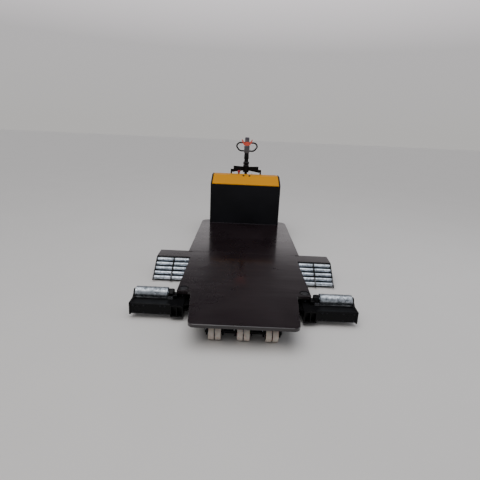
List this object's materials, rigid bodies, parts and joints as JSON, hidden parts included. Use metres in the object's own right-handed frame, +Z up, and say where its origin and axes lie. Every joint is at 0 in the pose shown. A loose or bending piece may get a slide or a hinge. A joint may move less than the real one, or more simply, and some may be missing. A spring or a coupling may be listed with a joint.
{
  "type": "pedestrian electric vehicle mover with swinging wheel arms",
  "caption": "Low-deck pedestrian electric tow tractor: swinging roller arms and roller ramps cradle a vehicle's wheels, with a battery box and steered tiller drive.",
  "frame": {"origin": "middle of the machine's outline on the floor", "axes": "+X to the right seen from the tongue end, +Y from the tongue to the operator, +Z up"},
  "size_m": [1.751, 3.2, 1.332],
  "materials": {
    "deck_black": "gloss",
    "frame_black": "satin",
    "housing_black": "satin",
    "lid_yellow": "satin",
    "zinc": "zinc plated",
    "chrome_rod": "polished",
    "pin_steel": "turned",
    "tan_polyurethane": "cast polyurethane on iron hubs",
    "cast_black": "painted",
    "motor_grey": "satin",
    "battery_grey": "moulded",
    "black_plastic": "moulded",
    "grey_plastic": "moulded",
    "orange_plastic": "moulded",
    "red_plastic": "moulded"
  },
  "bodies": {
    "chassis": {"deck_front": "deck_black", "deck_rear": "deck_black", "under_frame": "frame_black", "wheel_carrier": "frame_black", "pivot_pin_left": "pin_steel", "pivot_pin_right": "pin_steel", "ramp_frame_left": "frame_black", "ramp_frame_right": "frame_black", "housing_front": "housing_black", "housing_sides": "housing_black", "housing_rear": "housing_black", "battery": "battery_grey", "rear_frame": "frame_black", "tiller_bridge": "frame_black", "console": "housing_black", "emergency_stop": "red_plastic", "key_switch": "black_plastic"},
    "lid": {"lid": "lid_yellow"},
    "front_wheels_left": {"front_wheels_left": "tan_polyurethane"},
    "front_wheels_middle": {"front_wheels_middle": "tan_polyurethane"},
    "front_wheels_right": {"front_wheels_right": "tan_polyurethane"},
    "drive_unit": {"drive_unit": "cast_black", "drive_motor": "motor_grey", "steering_shaft": "pin_steel"},
    "drive_wheel": {"drive_wheel": "tan_polyurethane"},
    "tiller": {"tiller_column": "black_plastic", "tiller_head": "grey_plastic", "tiller_collar": "orange_plastic", "tiller_loop": "black_plastic"},
    "arm_left": {"arm_left": "frame_black", "arm_cover_left": "frame_black"},
    "arm_roller_left": {"arm_roller_left": "zinc"},
    "cylinder_barrel_left": {"cylinder_barrel_left": "frame_black"},
    "cylinder_rod_left": {"cylinder_rod_left": "chrome_rod"},
    "castor_fork_left": {"castor_fork_left": "zinc"},
    "castor_wheel_left": {"castor_wheel_left": "tan_polyurethane"},
    "ramp_rollers_left_1": {"ramp_rollers_left_1": "zinc"},
    "ramp_rollers_left_2": {"ramp_rollers_left_2": "zinc"},
    "ramp_rollers_left_3": {"ramp_rollers_left_3": "zinc"},
    "ramp_rollers_left_4": {"ramp_rollers_left_4": "zinc"},
    "ramp_rollers_left_5": {"ramp_rollers_left_5": "zinc"},
    "arm_right": {"arm_right": "frame_black", "arm_cover_right": "frame_black"},
    "arm_roller_right": {"arm_roller_right": "zinc"},
    "cylinder_barrel_right": {"cylinder_barrel_right": "frame_black"},
    "cylinder_rod_right": {"cylinder_rod_right": "chrome_rod"},
    "castor_fork_right": {"castor_fork_right": "zinc"},
    "castor_wheel_right": {"castor_wheel_right": "tan_polyurethane"},
    "ramp_rollers_right_1": {"ramp_rollers_right_1": "zinc"},
    "ramp_rollers_right_2": {"ramp_rollers_right_2": "zinc"},
    "ramp_rollers_right_3": {"ramp_rollers_right_3": "zinc"},
    "ramp_rollers_right_4": {"ramp_rollers_right_4": "zinc"},
    "ramp_rollers_right_5": {"ramp_rollers_right_5": "zinc"}
  },
  "joints": [
    {"name": "lid_hinge", "type": "hinge", "parent": "chassis", "child": "lid", "pos_m": [0, 1.23, 0.816], "axis": [-1, 0, 0], "range_deg": [0, 80]},
    {"name": "front_wheels_left_roll", "type": "hinge", "parent": "chassis", "child": "front_wheels_left", "pos_m": [-0.2, -1.467, 0.062], "axis": [1, 0, 0], "continuous": true},
    {"name": "front_wheels_middle_roll", "type": "hinge", "parent": "chassis", "child": "front_wheels_middle", "pos_m": [0, -1.467, 0.062], "axis": [1, 0, 0], "continuous": true},
    {"name": "front_wheels_right_roll", "type": "hinge", "parent": "chassis", "child": "front_wheels_right", "pos_m": [0.2, -1.467, 0.062], "axis": [1, 0, 0], "continuous": true},
    {"name": "steering", "type": "hinge", "parent": "chassis", "child": "drive_unit", "pos_m": [0, 1.348, 0.125], "axis": [0, 0, 1], "range_deg": [-90, 90]},
    {"name": "drive_wheel_roll", "type": "hinge", "parent": "drive_unit", "child": "drive_wheel", "pos_m": [0, 1.348, 0.125], "axis": [1, 0, 0], "continuous": true},
    {"name": "tiller_tilt", "type": "hinge", "parent": "drive_unit", "child": "tiller", "pos_m": [0, 1.348, 0.966], "axis": [-1, 0, 0], "range_deg": [0, 75], "stiffness_Nm_per_rad": 12, "springref_deg": -28.65},
    {"name": "arm_left_swing", "type": "hinge", "parent": "chassis", "child": "arm_left", "pos_m": [-0.4875, -1.097, 0.1], "axis": [0, 0, -1], "range_deg": [-88, 0]},
    {"name": "arm_roller_left_roll", "type": "hinge", "parent": "arm_left", "child": "arm_roller_left", "pos_m": [-0.6025, -1.122, 0.154], "axis": [1, 0, 0], "continuous": true},
    {"name": "cylinder_left_turn", "type": "hinge", "parent": "chassis", "child": "cylinder_barrel_left", "pos_m": [-0.305, -0.665, 0.085], "axis": [0, 0, -1], "range_deg": [0, 3.16]},
    {"name": "cylinder_left_stroke", "type": "slide", "parent": "cylinder_barrel_left", "child": "cylinder_rod_left", "axis": [-0.204, -0.979, 0], "range_m": [-0.15464, 0]},
    {"name": "castor_left_swivel", "type": "hinge", "parent": "chassis", "child": "castor_fork_left", "pos_m": [-0.37, 1.452, 0.226], "axis": [0, 0, 1], "continuous": true},
    {"name": "castor_wheel_left_roll", "type": "hinge", "parent": "castor_fork_left", "child": "castor_wheel_left", "pos_m": [-0.37, 1.5, 0.08], "axis": [1, 0, 0], "continuous": true},
    {"name": "ramp_rollers_left_1_roll", "type": "hinge", "parent": "chassis", "child": "ramp_rollers_left_1", "pos_m": [-0.69, -0.44785, 0.15974], "axis": [1, 0, 0], "continuous": true},
    {"name": "ramp_rollers_left_2_roll", "type": "hinge", "parent": "chassis", "child": "ramp_rollers_left_2", "pos_m": [-0.69, -0.48592, 0.12889], "axis": [1, 0, 0], "continuous": true},
    {"name": "ramp_rollers_left_3_roll", "type": "hinge", "parent": "chassis", "child": "ramp_rollers_left_3", "pos_m": [-0.69, -0.52399, 0.09804], "axis": [1, 0, 0], "continuous": true},
    {"name": "ramp_rollers_left_4_roll", "type": "hinge", "parent": "chassis", "child": "ramp_rollers_left_4", "pos_m": [-0.69, -0.56206, 0.06719], "axis": [1, 0, 0], "continuous": true},
    {"name": "ramp_rollers_left_5_roll", "type": "hinge", "parent": "chassis", "child": "ramp_rollers_left_5", "pos_m": [-0.69, -0.60014, 0.03635], "axis": [1, 0, 0], "continuous": true},
    {"name": "arm_right_swing", "type": "hinge", "parent": "chassis", "child": "arm_right", "pos_m": [0.4875, -1.097, 0.1], "axis": [0, 0, 1], "range_deg": [-88, 0]},
    {"name": "arm_roller_right_roll", "type": "hinge", "parent": "arm_right", "child": "arm_roller_right", "pos_m": [0.6025, -1.122, 0.154], "axis": [1, 0, 0], "continuous": true},
    {"name": "cylinder_right_turn", "type": "hinge", "parent": "chassis", "child": "cylinder_barrel_right", "pos_m": [0.305, -0.665, 0.085], "axis": [0, 0, 1], "range_deg": [0, 3.16]},
    {"name": "cylinder_right_stroke", "type": "slide", "parent": "cylinder_barrel_right", "child": "cylinder_rod_right", "axis": [0.204, -0.979, 0], "range_m": [-0.15464, 0]},
    {"name": "castor_right_swivel", "type": "hinge", "parent": "chassis", "child": "castor_fork_right", "pos_m": [0.37, 1.452, 0.226], "axis": [0, 0, 1], "continuous": true},
    {"name": "castor_wheel_right_roll", "type": "hinge", "parent": "castor_fork_right", "child": "castor_wheel_right", "pos_m": [0.37, 1.5, 0.08], "axis": [1, 0, 0], "continuous": true},
    {"name": "ramp_rollers_right_1_roll", "type": "hinge", "parent": "chassis", "child": "ramp_rollers_right_1", "pos_m": [0.69, -0.44785, 0.15974], "axis": [1, 0, 0], "continuous": true},
    {"name": "ramp_rollers_right_2_roll", "type": "hinge", "parent": "chassis", "child": "ramp_rollers_right_2", "pos_m": [0.69, -0.48592, 0.12889], "axis": [1, 0, 0], "continuous": true},
    {"name": "ramp_rollers_right_3_roll", "type": "hinge", "parent": "chassis", "child": "ramp_rollers_right_3", "pos_m": [0.69, -0.52399, 0.09804], "axis": [1, 0, 0], "continuous": true},
    {"name": "ramp_rollers_right_4_roll", "type": "hinge", "parent": "chassis", "child": "ramp_rollers_right_4", "pos_m": [0.69, -0.56206, 0.06719], "axis": [1, 0, 0], "continuous": true},
    {"name": "ramp_rollers_right_5_roll", "type": "hinge", "parent": "chassis", "child": "ramp_rollers_right_5", "pos_m": [0.69, -0.60014, 0.03635], "axis": [1, 0, 0], "continuous": true}
  ],
  "couplings": [
    {"joint": "cylinder_left_turn", "follows": "arm_left_swing", "ratio": -0.03584},
    {"joint": "cylinder_left_stroke", "follows": "arm_left_swing", "m_per_rad": 0.10062},
    {"joint": "cylinder_right_turn", "follows": "arm_right_swing", "ratio": -0.03584},
    {"joint": "cylinder_right_stroke", "follows": "arm_right_swing", "m_per_rad": 0.10062}
  ]
}
